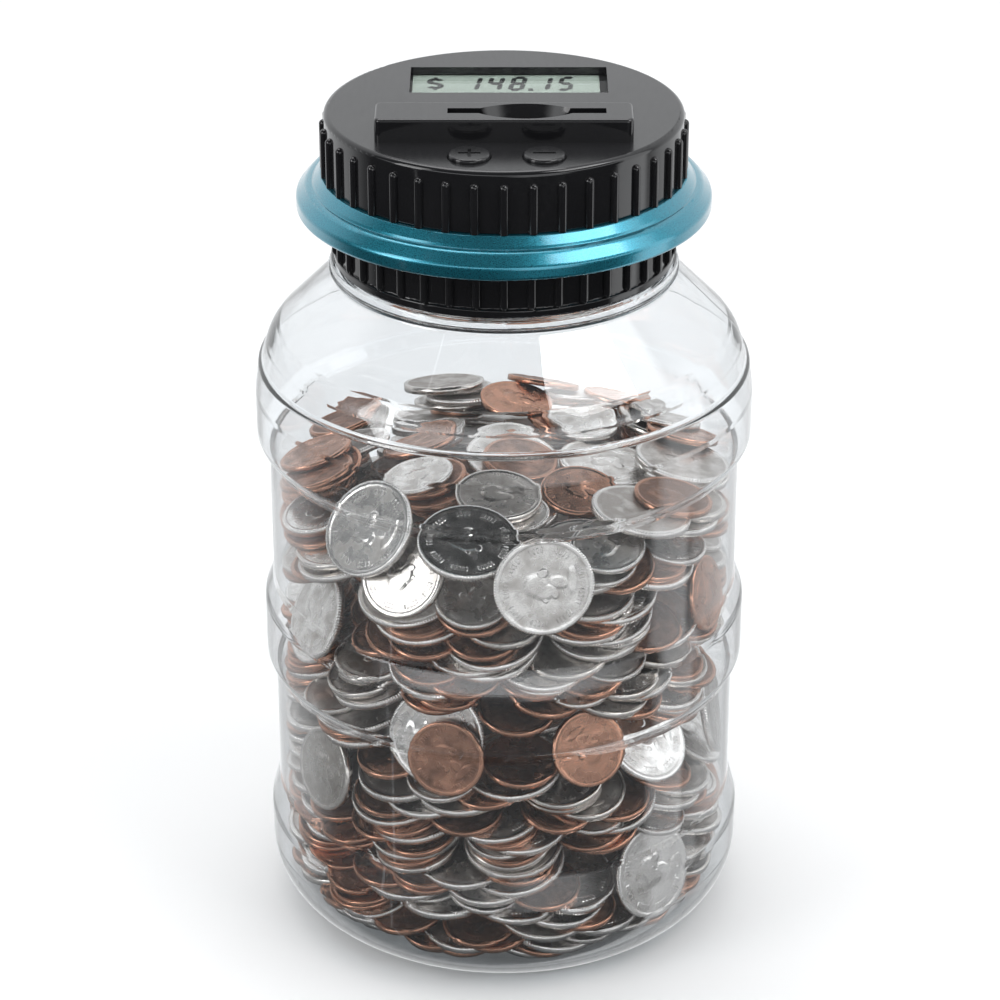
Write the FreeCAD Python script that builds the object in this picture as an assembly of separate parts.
"""Digital coin counting jar: a clear blow-moulded jar with a screw-on counting lid.

Millimetres, +Z up. The origin is the middle of the base, on the surface that the jar stands on.
One STEP file is written for each named sub-part.
"""
import FreeCAD
import Part
import math
import os

V = FreeCAD.Vector
UP = V(0, 0, 1)
AXIS_X = V(1, 0, 0)
AXIS_Y = V(0, 1, 0)

# ---- jar ------------------------------------------------------------------------------------
WALL = 1.2                      # blow-moulded wall
BAND_R = 60.8                   # lower and middle bands
TOP_BAND_R = 61.5               # widest band, under the shoulder
GROOVE_R = 58.5                 # waist between two bands
HEEL_R = 17.0                   # rounding between base and side
PUSH_UP = 6.0                   # height of the hollow under the base
BEAD_R = 42.4                   # support bead under the lid
BEAD_Z = 174.6
NECK_R = 37.2
NECK_WALL = 1.6
RIM_Z = 196.0                   # top of the neck
COIN_GAP = 0.6                  # between the coins and the wall
COIN_TOP = 122.0                # level of the coin heap

# ---- screw thread ---------------------------------------------------------------------------
LEAD = 5.0
THREAD_TURNS = 1.25
NECK_THREAD_Z = 182.5
THREAD_OFFSET = 2.2             # the lid's thread runs this far under the neck's
THREAD_ROOT = 2.2               # axial width at the wall
THREAD_CREST = 1.2              # axial width at the tip
NECK_THREAD_R = 38.35
SKIRT_THREAD_R = 37.55

# ---- lid ------------------------------------------------------------------------------------
SKIRT_Z = 177.2                 # lower edge of the lid
SKIRT_R = 40.9                  # between the ribs
SKIRT_IN_R = 38.9
SKIRT_TOP = 202.2               # the skirt nests inside the housing up to here
LIP_R = 41.5
LIP_TOP = 179.2
RIB_COUNT = 40
RIB_R = 1.1
SKIRT_RIB_R = 42.1
RING_Z = 190.2
RING_TOP = 199.2
RING_R = 50.2
RING_BORE_R = 41.05
HOUSING_R = 43.2
HOUSING_IN_R = 41.0
HOUSING_RIB_R = 44.3
RIB_TOP = 211.4
TOP_Z = 214.3
PLATE = 1.8                     # thickness of the lid's top plate
UNDER_Z = TOP_Z - PLATE
FLOOR_Z = 197.3                 # underside of the lid's inner floor
FLOOR_TOP = 199.1
SMALL_GAP = 0.1

# ---- slot block and coin chute --------------------------------------------------------------
BLOCK_X = 30.2
BLOCK_FRONT = -23.9
BLOCK_BACK = -11.5
BLOCK_Z = 219.9
SLOT_X = (-13.2, 23.9)
SLOT_Y = -17.6
SLOT_WIDTH = 3.4
SCOOP_X = (-7.8, 17.8)          # finger scoop in the middle of the slot
SCOOP_FRONT = 5.4               # from the slot's middle to the scoop's front and back
SCOOP_BACK = 4.8
SCOOP_DEEP = 4.6
PASSAGE_HALF = 2.3              # half the chute's inner width
CHUTE_X = (-14.2, 25.2)
CHUTE_Z = 190.0
CHUTE_WALL = 1.4

# ---- display --------------------------------------------------------------------------------
RECESS_X = (-22.9, 25.2)
RECESS_Y = (10.7, 29.3)
WINDOW_T = 0.6
DISPLAY_X = (-22.4, 23.4)
DISPLAY_Y = (10.5, 29.5)
DISPLAY_T = 2.8
FRAME_EDGE = 1.5                # window and frame reach this far past the recess

# ---- buttons --------------------------------------------------------------------------------
BUTTONS = {"plus": (-8.0, -33.2), "minus": (9.3, -33.2)}
BUTTON_R = 5.0
BUTTON_GAP = 0.15
BUTTON_PROUD = 1.0
BUTTON_TRAVEL = 0.8
FLANGE_R = 6.0
MARK_LENGTH = 5.2
MARK_WIDTH = 0.8
MARK_DEEP = 0.5

# ---- circuit board --------------------------------------------------------------------------
BOARD_Z = 203.0
BOARD_T = 1.2
BOARD_R = 38.4
BOARD_TOP = BOARD_Z + BOARD_T

# ---- fasteners ------------------------------------------------------------------------------
CASE_BOSSES = [(30.0, 9.0), (-30.0, 9.0), (17.5, -26.0), (-17.5, -26.0)]
BOSS_R = 2.6
CASE_SCREW_R = 1.1
BOARD_POSTS = [(0.0, 34.6), (-33.0, -10.0), (33.4, -6.0)]
POST_R = 2.2
BOARD_SCREW_R = 0.8

# ---- battery tray and door ------------------------------------------------------------------
TRAY_X = 26.2
TRAY_Y = (-4.2, 20.2)
TRAY_WALL = 1.4
TRAY_Z = 186.8
TRAY_ROOF = 199.9
DOOR_T = 1.4
DOOR_GAP = 0.1
CELL_R = 5.25
CELL_LENGTH = 44.5
CELL_Z = 192.8
HINGE_Y = TRAY_Y[0]
HINGE_Z = 187.6
TAB_X = (13.0, 19.0)
TAB_R = 1.0
DOOR_SCREW = (0.0, 22.2)
SPRING_CONE = 24.0               # half angle of the conical battery springs

# ---- coin lever -----------------------------------------------------------------------------
PIVOT_X = 28.6
PIVOT_Z = 207.4
PIN_R = 0.8
LEVER_BORE_R = 0.85
LEVER_T = 2.0
LEVER_TIP = (4.0, 199.4)
EAR_X = (26.6, 31.4)
EAR_Z = (203.4, 210.6)
EAR_T = 1.6
CHUTE_HALF = PASSAGE_HALF + CHUTE_WALL


# ---- shape helpers --------------------------------------------------------------------------
def box(x, y, z):
    """A box between pairs of limits."""
    return Part.makeBox(x[1] - x[0], y[1] - y[0], z[1] - z[0], V(x[0], y[0], z[0]))


def disc(radius, low, high, at=(0.0, 0.0)):
    return Part.makeCylinder(radius, high - low, V(at[0], at[1], low))


def tube(outer, inner, low, high, at=(0.0, 0.0)):
    return disc(outer, low, high, at).cut(disc(inner, low - 1, high + 1, at))


def rod_y(radius, x, z, y):
    """A cylinder along Y between two limits."""
    return Part.makeCylinder(radius, y[1] - y[0], V(x, y[0], z), AXIS_Y)


def rod_x(radius, y, z, x):
    """A cylinder along X between two limits."""
    return Part.makeCylinder(radius, x[1] - x[0], V(x[0], y, z), AXIS_X)


def outline(points):
    """Edges through (r, z, rounding) points in the XZ plane, with each corner rounded."""
    corners = [V(r, 0, z) for r, z, _ in points]
    edges = []
    start = corners[0]
    for i in range(1, len(points) - 1):
        back = (corners[i - 1] - corners[i]).normalize()
        ahead = (corners[i + 1] - corners[i]).normalize()
        rounding = points[i][2]
        if rounding == 0:
            edges.append(Part.LineSegment(start, corners[i]).toShape())
            start = corners[i]
            continue
        half = back.getAngle(ahead) / 2
        reach = rounding / math.tan(half)
        first = corners[i] + back * reach
        last = corners[i] + ahead * reach
        middle = corners[i] + (back + ahead).normalize() * (rounding / math.sin(half) - rounding)
        if (first - start).Length > 1e-4:
            edges.append(Part.LineSegment(start, first).toShape())
        edges.append(Part.Arc(first, middle, last).toShape())
        start = last
    edges.append(Part.LineSegment(start, corners[-1]).toShape())
    return edges


def turned(points):
    """A solid of revolution about Z from a closed chain of (r, z, rounding) points."""
    closed = points + [points[0]]
    face = Part.Face(Part.Wire(outline(closed)))
    return face.revolve(V(0, 0, 0), UP, 360)


def fused(shapes):
    result = shapes[0].multiFuse(shapes[1:]) if len(shapes) > 1 else shapes[0]
    return result.removeSplitter()


def group(solids):
    return Part.makeCompound(solids)


def save(name, shape):
    solids = shape.Solids
    assert solids and all(s.isValid() for s in solids), name
    part = solids[0] if len(solids) == 1 else Part.makeCompound(solids)
    part.exportStep("parts/" + name + ".step")


def coiled(wire, radius, pitch, height, cone):
    """A helical spring that rises along Z; cone is the half angle that it opens by."""
    helix = Part.makeHelix(pitch, height, radius, cone)
    ring = Part.Wire(Part.makeCircle(wire, V(radius, 0, 0), AXIS_Y))
    return Part.Solid(Part.Wire(helix.Edges).makePipeShell([ring], True, True))


def thread(wall_r, tip_r, low):
    """A helical ridge that starts at angle 0 and height low, from wall_r to tip_r."""
    sink = 0.4 if tip_r > wall_r else -0.4
    root_r = wall_r - sink
    helix = Part.makeHelix(LEAD, LEAD * THREAD_TURNS, wall_r)
    helix.translate(V(0, 0, low))
    corners = [V(root_r, 0, low - THREAD_ROOT / 2), V(tip_r, 0, low - THREAD_CREST / 2),
               V(tip_r, 0, low + THREAD_CREST / 2), V(root_r, 0, low + THREAD_ROOT / 2)]
    profile = Part.makePolygon(corners + corners[:1])
    return Part.Wire(helix.Edges).makePipeShell([profile], True, True)


# ---- jar ------------------------------------------------------------------------------------
def jar_side(inset, lift):
    """The jar's outline from the middle of the base to the bead, moved in by inset."""
    return [(0, PUSH_UP + lift, 0),
            (22, PUSH_UP + lift - 0.6, 30),
            (37, lift, 3),
            (BAND_R - inset, lift, HEEL_R - inset),
            (BAND_R - inset, 25.7, 6),
            (GROOVE_R - inset, 34.2, 6),
            (GROOVE_R - inset, 67.6, 2.5),
            (BAND_R - inset, 71.0, 2.5),
            (BAND_R - inset, 86.2, 5),
            (GROOVE_R - inset, 92.2, 5),
            (GROOVE_R - inset, 127.7, 2),
            (TOP_BAND_R - inset, 131.3, 2.5),
            (TOP_BAND_R - inset, 143.0, 8),
            (TOP_BAND_R - 0.9 - inset, 150.2, 1),
            (TOP_BAND_R - 1.7 - inset, 150.9, 1),
            (TOP_BAND_R - 3.8 - inset, 157.4, 12)]


def jar_bottle():
    outer = jar_side(0, 0) + [
        (BEAD_R - 1.6, BEAD_Z, 1), (BEAD_R, BEAD_Z + 0.2, 0.6), (BEAD_R, BEAD_Z + 2.2, 0.6),
        (NECK_R, BEAD_Z + 2.6, 0.6), (NECK_R, RIM_Z, 0.5)]
    neck_in = NECK_R - NECK_WALL
    under_in = BEAD_R - 1.6 - WALL
    inner = jar_side(WALL, WALL) + [
        (under_in, BEAD_Z + 0.2, 1), (under_in, BEAD_Z + 1.4, 0.8),
        (neck_in, BEAD_Z + 1.4, 1), (neck_in, RIM_Z, 0.5)]
    body = turned(outer + inner[::-1])
    return fused([body, thread(NECK_R, NECK_THREAD_R, NECK_THREAD_Z)])


def coin_heap():
    """The coins taken together as one closed solid, a little inside the jar's wall."""
    inset = WALL + COIN_GAP
    side = [p for p in jar_side(inset, inset) if p[1] < COIN_TOP - 20]
    edge_r = GROOVE_R - inset
    top = [(edge_r, COIN_TOP - 4, 3), (26, COIN_TOP, 40), (0, COIN_TOP + 1, 0)]
    return turned(side + top)


# ---- outside of the lid ---------------------------------------------------------------------
def ribs(outer_r, low, high, rounded):
    """Half-round grip ribs; the rounded end, at the top or the bottom, is a ball."""
    centre_r = outer_r - RIB_R
    solids = []
    for i in range(RIB_COUNT):
        angle = math.radians(i * 360 / RIB_COUNT - 90)
        at = (centre_r * math.cos(angle), centre_r * math.sin(angle))
        solids.append(disc(RIB_R, low, high, at))
        end = high if rounded == "top" else low
        solids.append(Part.makeSphere(RIB_R, V(at[0], at[1], end)))
    return solids


def trim_ring():
    """Collar against the housing, a groove, and a rounded outer flange."""
    return turned([(RING_BORE_R, RING_TOP - SMALL_GAP, 0),
                   (44.2, RING_TOP - SMALL_GAP, 0.5),
                   (45.9, 197.2, 0.3),
                   (46.3, 196.6, 0.3),
                   (47.6, 196.5, 2.2),
                   (RING_R, 193.6, 1.6),
                   (RING_R, RING_Z, 1.0),
                   (RING_BORE_R, RING_Z, 0)])


def slot_cut():
    """The coin slot, its wider middle and the finger scoop above it."""
    deep = BLOCK_Z - SCOOP_DEEP
    half = SLOT_WIDTH / 2
    slot = box(SLOT_X, (SLOT_Y - half, SLOT_Y + half), (UNDER_Z - 1, BLOCK_Z + 1))
    middle_x = (SCOOP_X[0] + SCOOP_X[1]) / 2

    def lens(to_front, to_back, level, grow):
        left = V(SCOOP_X[0] - grow, SLOT_Y, level)
        right = V(SCOOP_X[1] + grow, SLOT_Y, level)
        front = Part.Arc(left, V(middle_x, SLOT_Y - to_front, level), right).toShape()
        back = Part.Arc(right, V(middle_x, SLOT_Y + to_back, level), left).toShape()
        return Part.Wire([front, back])

    throat_half = PASSAGE_HALF + 0.4
    scoop = Part.makeLoft([lens(throat_half, throat_half, deep, -1.0),
                           lens(SCOOP_FRONT, SCOOP_BACK, BLOCK_Z, 0),
                           lens(SCOOP_FRONT + 0.2, SCOOP_BACK + 0.2, BLOCK_Z + 0.3, 0.6)],
                          True, True)
    throat_x = (middle_x - 9, middle_x + 9)
    throat = box(throat_x, (SLOT_Y - PASSAGE_HALF, SLOT_Y + PASSAGE_HALF),
                 (UNDER_Z - 1, deep + 0.6))
    return fused([slot, scoop, throat])


def slot_block():
    block = box((-BLOCK_X, BLOCK_X), (BLOCK_FRONT, BLOCK_BACK), (UNDER_Z + 0.4, BLOCK_Z))
    upright = [e for e in block.Edges if abs(e.BoundBox.ZLength) > 2]
    block = block.makeFillet(1.6, upright)
    rim = [e for e in block.Edges if e.BoundBox.ZMin > BLOCK_Z - 0.01]
    return block.makeFillet(0.7, rim)


def lid_housing():
    """Top plate and upper ribbed wall, with the slot block, screw bosses and board posts."""
    shell = turned([(0, TOP_Z, 0), (HOUSING_R, TOP_Z, 1.3), (HOUSING_R, RING_TOP, 0.2),
                    (HOUSING_IN_R, RING_TOP, 0), (HOUSING_IN_R, UNDER_Z, 0.4), (0, UNDER_Z, 0)])
    adds = ribs(HOUSING_RIB_R, RING_TOP, RIB_TOP - RIB_R, "top")
    adds.append(slot_block())
    for at in CASE_BOSSES:
        adds.append(disc(BOSS_R, FLOOR_TOP + SMALL_GAP, UNDER_Z + 0.5, at))
    for at in BOARD_POSTS:
        adds.append(disc(POST_R, BOARD_TOP + SMALL_GAP, UNDER_Z + 0.5, at))
    body = fused([shell] + adds)
    cuts = [slot_cut(), box(RECESS_X, RECESS_Y, (UNDER_Z - 1, TOP_Z + 1)),
            box((-28.4, SLOT_X[0] - 3), (BLOCK_FRONT + 1.8, BLOCK_BACK - 1.8),
                (UNDER_Z - 1, BLOCK_Z - 1.8))]
    cuts += [disc(BUTTON_R + BUTTON_GAP, UNDER_Z - 1, TOP_Z + 1, at) for at in BUTTONS.values()]
    cuts += [disc(CASE_SCREW_R, FLOOR_TOP - 1, 208.0, at) for at in CASE_BOSSES]
    cuts += [disc(BOARD_SCREW_R, BOARD_Z - 1, 209.0, at) for at in BOARD_POSTS]
    return body.cut(cuts).removeSplitter()


def threaded_skirt():
    """Lower ribbed wall with the inside thread, and the floor under the electronics."""
    wall = turned([(SKIRT_IN_R, SKIRT_Z, 0.4), (LIP_R, SKIRT_Z, 0.6), (LIP_R, LIP_TOP, 0.4),
                   (SKIRT_R, LIP_TOP + 0.3, 0.4), (SKIRT_R, SKIRT_TOP, 0.3),
                   (SKIRT_IN_R, SKIRT_TOP, 0.3), (SKIRT_IN_R, FLOOR_TOP, 0.5), (0, FLOOR_TOP, 0),
                   (0, FLOOR_Z, 0), (SKIRT_IN_R, FLOOR_Z, 0.5), (SKIRT_IN_R, SKIRT_Z + 3, 0)])
    grips = ribs(SKIRT_RIB_R, LIP_TOP + RIB_R, RING_Z - 0.2, "bottom")
    ridge = thread(SKIRT_IN_R, SKIRT_THREAD_R, NECK_THREAD_Z - THREAD_OFFSET)
    body = fused([wall] + grips)
    through = (FLOOR_Z - 1, FLOOR_TOP + 1)
    cuts = [box((-TRAY_X - SMALL_GAP, TRAY_X + SMALL_GAP),
                (TRAY_Y[0] - SMALL_GAP, TRAY_Y[1] + SMALL_GAP), through),
            disc(2.5, *through, at=DOOR_SCREW),
            box((CHUTE_X[0] - CHUTE_WALL - SMALL_GAP, 29.6),
                (SLOT_Y - CHUTE_HALF - SMALL_GAP, SLOT_Y + CHUTE_HALF + SMALL_GAP), through)]
    cuts += [disc(CASE_SCREW_R + 0.1, *through, at=at) for at in CASE_BOSSES]
    return body.cut(cuts).removeSplitter().fuse(ridge)


def neck_seal():
    return tube(38.4, 34.7, RIM_Z + SMALL_GAP, FLOOR_Z)


def case_screws():
    """Four pan-head screws from under the floor into the housing's bosses."""
    solids = []
    for at in CASE_BOSSES:
        head = disc(2.1, FLOOR_Z - 1.4, FLOOR_Z, at)
        head = head.makeFillet(0.6, [e for e in head.Edges if e.BoundBox.ZMax < FLOOR_Z - 1.3])
        shank = disc(CASE_SCREW_R - 0.05, FLOOR_Z - 0.2, 207.0, at)
        slot_a = box((at[0] - 1.3, at[0] + 1.3), (at[1] - 0.25, at[1] + 0.25),
                     (FLOOR_Z - 2, FLOOR_Z - 0.7))
        slot_b = box((at[0] - 0.25, at[0] + 0.25), (at[1] - 1.3, at[1] + 1.3),
                     (FLOOR_Z - 2, FLOOR_Z - 0.7))
        solids.append(head.fuse(shank).cut([slot_a, slot_b]))
    return group(solids)


# ---- display --------------------------------------------------------------------------------
def frame_limits():
    x = (RECESS_X[0] - FRAME_EDGE, RECESS_X[1] + FRAME_EDGE)
    y = (RECESS_Y[0] - FRAME_EDGE, RECESS_Y[1] + FRAME_EDGE)
    return x, y


def display_window():
    x, y = frame_limits()
    return box(x, y, (UNDER_Z - WINDOW_T, UNDER_Z))


def display_panel():
    top = UNDER_Z - WINDOW_T - 0.05
    return box(DISPLAY_X, DISPLAY_Y, (top - DISPLAY_T, top))


def display_frame():
    """Black carrier around the liquid crystal panel, open below for the contact strips."""
    x, y = frame_limits()
    top = UNDER_Z - WINDOW_T
    low = top - DISPLAY_T - 1.0
    pocket = box((DISPLAY_X[0] - 0.05, DISPLAY_X[1] + 0.05),
                 (DISPLAY_Y[0] - 0.05, DISPLAY_Y[1] + 0.05), (low - 1, top + 1))
    return box(x, y, (low, top)).cut(pocket)


def contact_strips():
    """Two elastomer strips that join the panel's edges to the board."""
    top = UNDER_Z - WINDOW_T - 0.05 - DISPLAY_T
    spans = [(DISPLAY_Y[0] + 0.4, DISPLAY_Y[0] + 2.4), (DISPLAY_Y[1] - 2.4, DISPLAY_Y[1] - 0.4)]
    return group([box((-21.0, 22.0), y, (BOARD_TOP, top)) for y in spans])


# ---- circuit board --------------------------------------------------------------------------
def circuit_board():
    board = disc(BOARD_R, BOARD_Z, BOARD_TOP)
    span = (BOARD_Z - 1, BOARD_TOP + 1)
    cuts = [box((CHUTE_X[0] - CHUTE_WALL - 0.3, BOARD_R + 1),
                (SLOT_Y - CHUTE_HALF - 0.3, SLOT_Y + CHUTE_HALF + 0.3), span)]
    cuts += [disc(BOSS_R + 0.3, *span, at=at) for at in CASE_BOSSES]
    cuts += [disc(BOARD_SCREW_R + 0.1, *span, at=at) for at in BOARD_POSTS]
    cuts += [box((x - 1.2, x + 1.2), (y - 0.5, y + 0.5), span) for x, y, _ in contact_places()]
    return board.cut(cuts)


def board_screws():
    solids = []
    for at in BOARD_POSTS:
        head = disc(1.7, BOARD_Z - 1.1, BOARD_Z, at)
        solids.append(head.fuse(disc(BOARD_SCREW_R - 0.05, BOARD_Z - 0.2, 208.0, at)))
    return group(solids)


def counter_chip():
    """The counting chip under its domed drop of black resin."""
    ball_r = 13.0
    chip_r = 6.5
    sink = math.sqrt(ball_r ** 2 - chip_r ** 2)
    ball = Part.makeSphere(ball_r, V(-2, -1.5, BOARD_TOP - sink))
    return ball.common(disc(chip_r + 1, BOARD_TOP, BOARD_TOP + 4, at=(-2, -1.5)))


def board_parts():
    """Crystal can, two disc capacitors and a row of chip resistors."""
    crystal = Part.makeCylinder(1.5, 7.0, V(10, -1.5, BOARD_TOP + 1.5), AXIS_X)
    solids = [crystal]
    for x in (-16.0, -12.5):
        solids.append(Part.makeCylinder(2.2, 1.6, V(x, -4.5, BOARD_TOP + 2.2), AXIS_X))
    for i in range(5):
        x = 8.0 + 3.2 * i
        solids.append(box((x, x + 2.0), (-8.5, -7.3), (BOARD_TOP, BOARD_TOP + 0.6)))
    return group(solids)


# ---- buttons --------------------------------------------------------------------------------
def button(name):
    """Round key with a flange under the top plate and a stem down to its switch."""
    x, y = BUTTONS[name]
    top = TOP_Z + BUTTON_PROUD
    flange_top = UNDER_Z - SMALL_GAP
    cap = disc(BUTTON_R, flange_top - 1.0, top, (x, y))
    cap = cap.makeFillet(0.6, [e for e in cap.Edges if e.BoundBox.ZMin > top - 0.01])
    flange = disc(FLANGE_R, flange_top - 1.0, flange_top, (x, y))
    stem = disc(1.6, plunger_top(), flange_top - 0.5, (x, y))
    body = fused([cap, flange, stem])
    half = MARK_LENGTH / 2
    thin = MARK_WIDTH / 2
    marks = [box((x - half, x + half), (y - thin, y + thin), (top - MARK_DEEP, top + 1))]
    if name == "plus":
        marks.append(box((x - thin, x + thin), (y - half, y + half), (top - MARK_DEEP, top + 1)))
    return body.cut(marks)


def plunger_top():
    return BOARD_TOP + 4.4


def switch_plunger(name):
    return disc(1.7, plunger_top() - 1.9, plunger_top(), BUTTONS[name])


def button_switches():
    """Two push switches on the board, each bored for its plunger."""
    solids = []
    for x, y in BUTTONS.values():
        case = box((x - 3, x + 3), (y - 3, y + 3), (BOARD_TOP, BOARD_TOP + 3.4))
        bore = disc(1.8, plunger_top() - 1.9 - BUTTON_TRAVEL - 0.2, BOARD_TOP + 5, (x, y))
        solids.append(case.cut(bore))
    return group(solids)


# ---- coin chute and lever -------------------------------------------------------------------
def coin_chute():
    """Flat guide from the slot to the jar, open at one end for the lever, with pivot ears."""
    outer_x = (CHUTE_X[0] - CHUTE_WALL, CHUTE_X[1] + CHUTE_WALL)
    outer_y = (SLOT_Y - CHUTE_HALF, SLOT_Y + CHUTE_HALF)
    top = UNDER_Z - SMALL_GAP
    body = box(outer_x, outer_y, (CHUTE_Z, top))
    passage = box(CHUTE_X, (SLOT_Y - PASSAGE_HALF, SLOT_Y + PASSAGE_HALF),
                  (CHUTE_Z - 1, top + 1))
    lever_gate = box((CHUTE_X[1] - 1, outer_x[1] + 1),
                     (SLOT_Y - PASSAGE_HALF, SLOT_Y + PASSAGE_HALF), (CHUTE_Z - 1, EAR_Z[1]))
    ears = []
    for y in ((outer_y[0], outer_y[0] + EAR_T), (outer_y[1] - EAR_T, outer_y[1])):
        ears.append(box(EAR_X, y, EAR_Z))
    bore = rod_y(PIN_R, PIVOT_X, PIVOT_Z, (outer_y[0] - 1, outer_y[1] + 1))
    return fused([body] + ears).cut([passage, lever_gate, bore])


def coin_lever():
    """Curved feeler arm that each coin pushes aside; its hub turns on the pin."""
    y = (SLOT_Y - LEVER_T / 2, SLOT_Y + LEVER_T / 2)
    hub = rod_y(2.3, PIVOT_X, PIVOT_Z, y)
    tip = rod_y(1.4, LEVER_TIP[0], LEVER_TIP[1], y)
    along = V(LEVER_TIP[0] - PIVOT_X, 0, LEVER_TIP[1] - PIVOT_Z)
    side = V(-along.z, 0, along.x).normalize()
    start = V(PIVOT_X, y[0], PIVOT_Z)
    end = V(LEVER_TIP[0], y[0], LEVER_TIP[1])
    corners = [start + side * 1.9, end + side * 1.2, end - side * 1.2, start - side * 1.9]
    arm = Part.Face(Part.makePolygon(corners + corners[:1])).extrude(V(0, LEVER_T, 0))
    bore = rod_y(LEVER_BORE_R, PIVOT_X, PIVOT_Z, (y[0] - 1, y[1] + 1))
    return fused([hub, tip, arm]).cut(bore)


def lever_pin():
    return rod_y(PIN_R, PIVOT_X, PIVOT_Z, (SLOT_Y - CHUTE_HALF, SLOT_Y + CHUTE_HALF))


def lever_spring():
    """Return spring round the pin: one and a half turns of thin wire."""
    wire = 0.16
    coil = coiled(wire, 1.4, 0.4, 0.6, 0)
    coil.rotate(V(0, 0, 0), AXIS_X, -90)
    coil.translate(V(PIVOT_X, SLOT_Y + LEVER_T / 2 + 0.2, PIVOT_Z))
    return coil


def lever_sensor():
    """Rotary sensor on the outside of the front ear, which reads the lever's angle."""
    y = (SLOT_Y - CHUTE_HALF - 2.6, SLOT_Y - CHUTE_HALF)
    case = box((EAR_X[0] - 0.4, EAR_X[1] - 0.4), y, (EAR_Z[0] + 1.4, EAR_Z[1] - 0.6))
    return case


# ---- battery compartment --------------------------------------------------------------------
def tray_inside():
    x = (-TRAY_X + TRAY_WALL, TRAY_X - TRAY_WALL)
    y = (TRAY_Y[0] + TRAY_WALL, TRAY_Y[1] - TRAY_WALL)
    return x, y


def cell_rows():
    """Middle line of each cell, with the end that its cap points to."""
    y = tray_inside()[1]
    return [(y[0] + CELL_R + 0.1, 1), (y[1] - CELL_R - 0.1, -1)]


def contact_places():
    """Where the contact tabs pass up through the board, as (x, y, side)."""
    x = tray_inside()[0][1] - 0.2
    return [(side * x, y, side) for y, _ in cell_rows() for side in (-1, 1)]


def battery_tray():
    x, y = tray_inside()
    outer = box((-TRAY_X, TRAY_X), TRAY_Y, (TRAY_Z, TRAY_ROOF))
    lip = box((-TRAY_X - 1.2, TRAY_X + 1.2), (TRAY_Y[0] - 1.2, TRAY_Y[1] + 1.2),
              (FLOOR_TOP, TRAY_ROOF))
    boss = disc(2.4, TRAY_Z, TRAY_ROOF, DOOR_SCREW)
    body = fused([outer, lip, boss])
    cuts = [box(x, y, (TRAY_Z - 1, TRAY_ROOF - 1.2)), disc(1.1, TRAY_Z - 1, 190.5, DOOR_SCREW)]
    for side in (-1, 1):
        span = sorted((side * (TAB_X[0] - 0.3), side * (TAB_X[1] + 0.3)))
        cuts.append(rod_x(TAB_R + 0.3, HINGE_Y, HINGE_Z, span))
        cuts.append(box(span, (HINGE_Y - 2, HINGE_Y + TAB_R + 0.3), (TRAY_Z - 1, HINGE_Z)))
    cuts += [box((px - 0.5, px + 0.5), (py - 1.3, py + 1.3), (TRAY_ROOF - 2, TRAY_ROOF + 1))
             for px, py, _ in contact_places()]
    return body.cut(cuts)


def battery_door():
    """Flat cover with two round hook tabs on one edge and a screw lug on the other."""
    high = TRAY_Z - DOOR_GAP
    low = high - DOOR_T
    plate = box((-TRAY_X, TRAY_X), TRAY_Y, (low, high))
    plate = plate.makeFillet(1.5, [e for e in plate.Edges if e.BoundBox.ZLength > 1])
    lug = disc(3.2, low, high, DOOR_SCREW)
    tabs = []
    for side in (-1, 1):
        span = sorted((side * TAB_X[0], side * TAB_X[1]))
        tabs.append(rod_x(TAB_R, HINGE_Y, HINGE_Z, span))
        tabs.append(box(span, (HINGE_Y, HINGE_Y + 0.9), (high - 0.5, HINGE_Z)))
    grips = [box((-8, 8), (4 + 2.4 * i, 5.2 + 2.4 * i), (low - 1, low + 0.4)) for i in range(4)]
    body = fused([plate, lug] + tabs)
    return body.cut(grips + [disc(1.0, low - 1, high + 1, DOOR_SCREW)])


def door_screw():
    low = TRAY_Z - DOOR_GAP - DOOR_T
    head = disc(2.0, low - 1.2, low, DOOR_SCREW)
    head = head.makeFillet(0.5, [e for e in head.Edges if e.BoundBox.ZMax < low - 1.1])
    shank = disc(0.9, low - 0.2, 189.0, DOOR_SCREW)
    x, y = DOOR_SCREW
    slots = [box((x - 1.3, x + 1.3), (y - 0.25, y + 0.25), (low - 2, low - 0.7)),
             box((x - 0.25, x + 0.25), (y - 1.3, y + 1.3), (low - 2, low - 0.7))]
    return head.fuse(shank).cut(slots)


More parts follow.
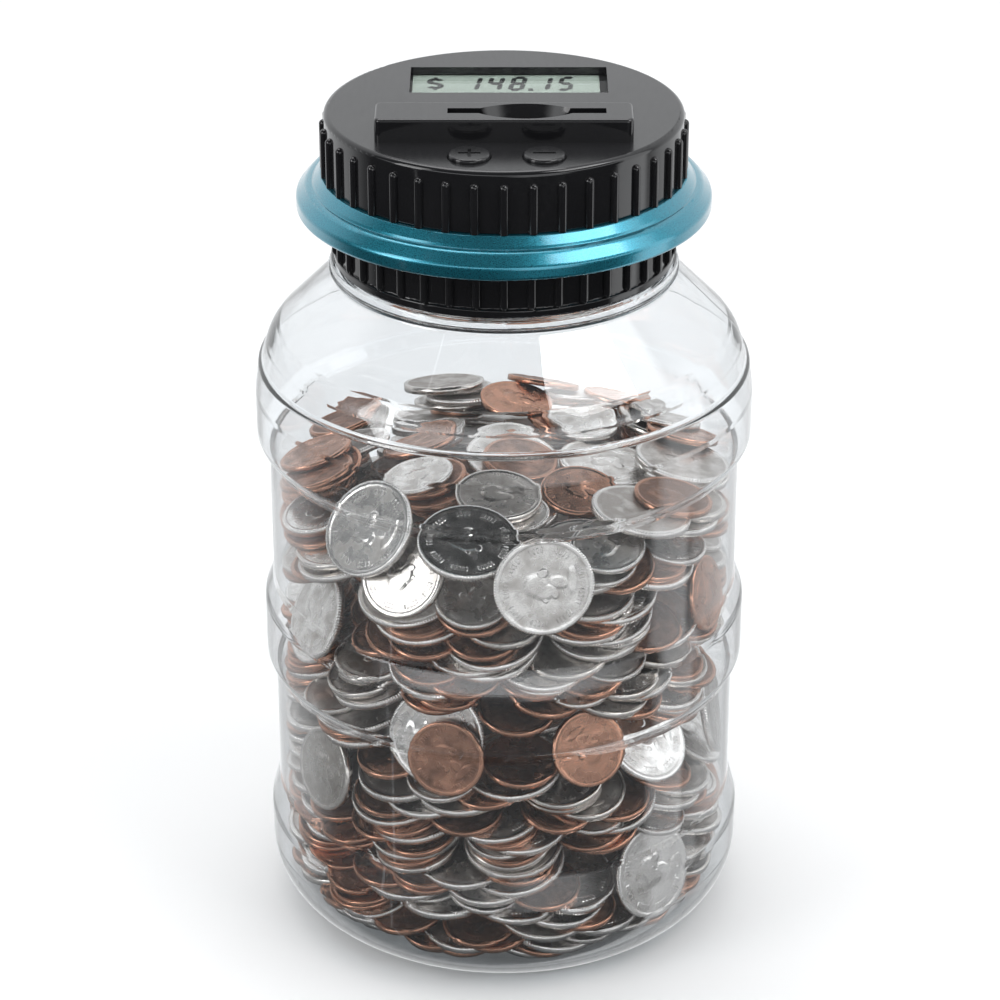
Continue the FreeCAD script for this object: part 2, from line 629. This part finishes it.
def battery_cells():
    """Two AAA cells, head to tail, each with its raised positive cap."""
    end_x = tray_inside()[0][1] - 0.5
    cap = 0.9
    solids = []
    for y, side in cell_rows():
        tail = side * (end_x - CELL_LENGTH)
        head = side * (end_x - cap)
        body = rod_x(CELL_R, y, CELL_Z, sorted((tail, head)))
        nub = rod_x(1.9, y, CELL_Z, sorted((side * (end_x - cap - 0.1), side * end_x)))
        solids.append(fused([body.makeFillet(0.4, [e for e in body.Edges if e.Closed]), nub]))
    return group(solids)


def battery_contacts():
    """Four plated strips against the end walls, each with a tab up through the board."""
    end_x = tray_inside()[0][1]
    solids = []
    for px, py, side in contact_places():
        x = sorted((side * end_x, side * (end_x - 0.4)))
        plate = box(x, (py - 4, py + 4), (CELL_Z - 4, TRAY_ROOF - 1.3))
        tab = box(x, (py - 0.35, py + 0.35), (TRAY_ROOF - 1.4, BOARD_TOP + 0.5))
        solids.append(fused([plate, tab]))
    return group(solids)


def battery_springs():
    """Conical springs at the flat end of each cell."""
    wire = 0.35
    inside = tray_inside()[0][1] - 0.5
    height = 2 * inside - CELL_LENGTH - 2 * wire
    solids = []
    for y, side in cell_rows():
        spring = coiled(wire, 2.0, height / 3, height, SPRING_CONE)
        spring.rotate(V(0, 0, 0), AXIS_Y, -90 * side)
        spring.translate(V(-side * (inside - wire - height), y, CELL_Z))
        solids.append(spring)
    return group(solids)


def main():
    os.makedirs("parts", exist_ok=True)
    save("jar_bottle", jar_bottle())
    save("coin_heap", coin_heap())
    save("trim_ring", trim_ring())
    save("lid_housing", lid_housing())
    save("threaded_skirt", threaded_skirt())
    save("neck_seal", neck_seal())
    save("case_screws", case_screws())
    save("display_window", display_window())
    save("display_panel", display_panel())
    save("display_frame", display_frame())
    save("contact_strips", contact_strips())
    save("circuit_board", circuit_board())
    save("board_screws", board_screws())
    save("counter_chip", counter_chip())
    save("board_parts", board_parts())
    save("button_switches", button_switches())
    for name in BUTTONS:
        save(name + "_button", button(name))
        save(name + "_switch_plunger", switch_plunger(name))
    save("coin_chute", coin_chute())
    save("coin_lever", coin_lever())
    save("lever_pin", lever_pin())
    save("lever_spring", lever_spring())
    save("lever_sensor", lever_sensor())
    save("battery_tray", battery_tray())
    save("battery_door", battery_door())
    save("battery_door_screw", door_screw())
    save("battery_cells", battery_cells())
    save("battery_contacts", battery_contacts())
    save("battery_springs", battery_springs())


main()
